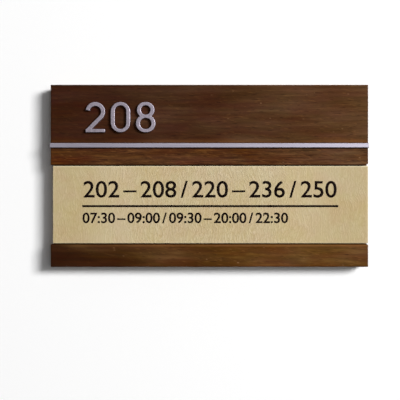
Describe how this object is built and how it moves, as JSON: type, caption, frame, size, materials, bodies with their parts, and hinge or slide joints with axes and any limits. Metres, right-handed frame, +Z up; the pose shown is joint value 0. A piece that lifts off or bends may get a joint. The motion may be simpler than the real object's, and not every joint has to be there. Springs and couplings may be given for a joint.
{
  "type": "door name sign",
  "caption": "Wall-mounted door name sign: dark hardwood bars on a plywood back board, aluminium trim strip, raised room numerals and a leather-faced name panel that slides out sideways.",
  "frame": {"origin": "centre of the back board's rear face, on the wall", "axes": "+X to the right as the sign is read, +Z up, and the front faces -Y; +Y points into the wall"},
  "size_m": [0.2004, 0.019, 0.1148],
  "materials": {
    "dark_hardwood": "oiled, satin",
    "birch_plywood": "sanded, bare",
    "fibreboard": "bare",
    "tan_leather": "natural grain, matt",
    "anodised_aluminium": "satin anodised",
    "steel": "zinc plated",
    "nickel_plate": "nickel plated",
    "black_ink": "printed, matt"
  },
  "bodies": {
    "sign_base": {"back_board": "birch_plywood", "header_board": "dark_hardwood", "trim_strip": "anodised_aluminium", "upper_rail": "dark_hardwood", "lower_rail": "dark_hardwood", "numeral_left": "anodised_aluminium", "numeral_middle": "anodised_aluminium", "numeral_right": "anodised_aluminium", "numeral_pins": "steel", "stop_pin": "steel", "catch_magnets": "nickel_plate", "header_screws": "steel", "upper_rail_screws": "steel", "lower_rail_screws": "steel"},
    "name_panel": {"panel_core": "fibreboard", "panel_leather": "tan_leather", "catch_plates": "steel"}
  },
  "joints": [
    {"name": "panel_slide", "type": "slide", "parent": "sign_base", "child": "name_panel", "axis": [1, 0, 0], "range_m": [0, 0.2]}
  ]
}
